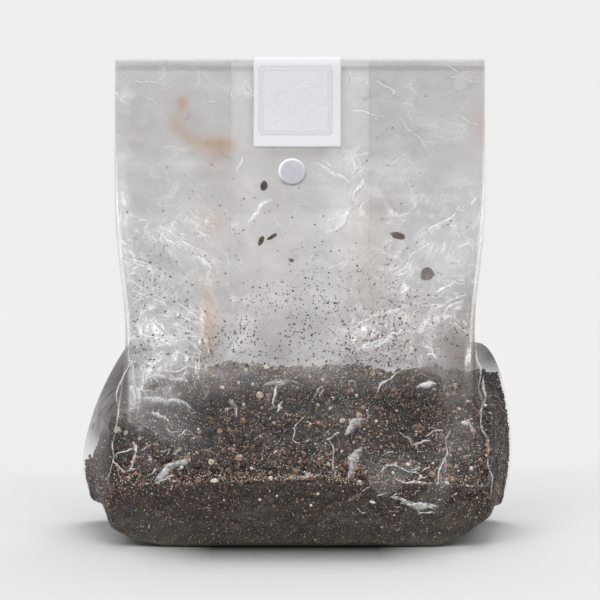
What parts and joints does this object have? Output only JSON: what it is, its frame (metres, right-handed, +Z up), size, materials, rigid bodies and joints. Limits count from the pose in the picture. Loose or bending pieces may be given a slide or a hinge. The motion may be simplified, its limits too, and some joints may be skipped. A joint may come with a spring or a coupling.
{
  "type": "mushroom grow bag",
  "caption": "Clear side gusseted film grow bag standing on its base, part filled with dark substrate, with a filter patch, a round injection port and its open end folded over behind.",
  "frame": {"origin": "the middle of the standing bag's box, on the floor under its base", "axes": "+Z is up, from the base to the folded top; -Y is the front, with the filter patch and the port; +X is to the right seen from the front"},
  "size_m": [0.2478, 0.1164, 0.2611],
  "materials": {
    "clear_film": "gloss",
    "white_nonwoven": "matte",
    "port_rubber": "satin",
    "dark_soil": "matte",
    "bark_brown": "matte"
  },
  "bodies": {
    "root": {"film_bag": "clear_film", "filter_patch": "white_nonwoven", "injection_port": "port_rubber", "substrate": "dark_soil", "loose_bit_oval": "bark_brown", "loose_bit_bark": "bark_brown", "loose_bit_splinter": "bark_brown", "loose_bit_grey": "bark_brown", "loose_bit_husk": "bark_brown", "loose_bit_crumb": "bark_brown"}
  },
  "joints": []
}
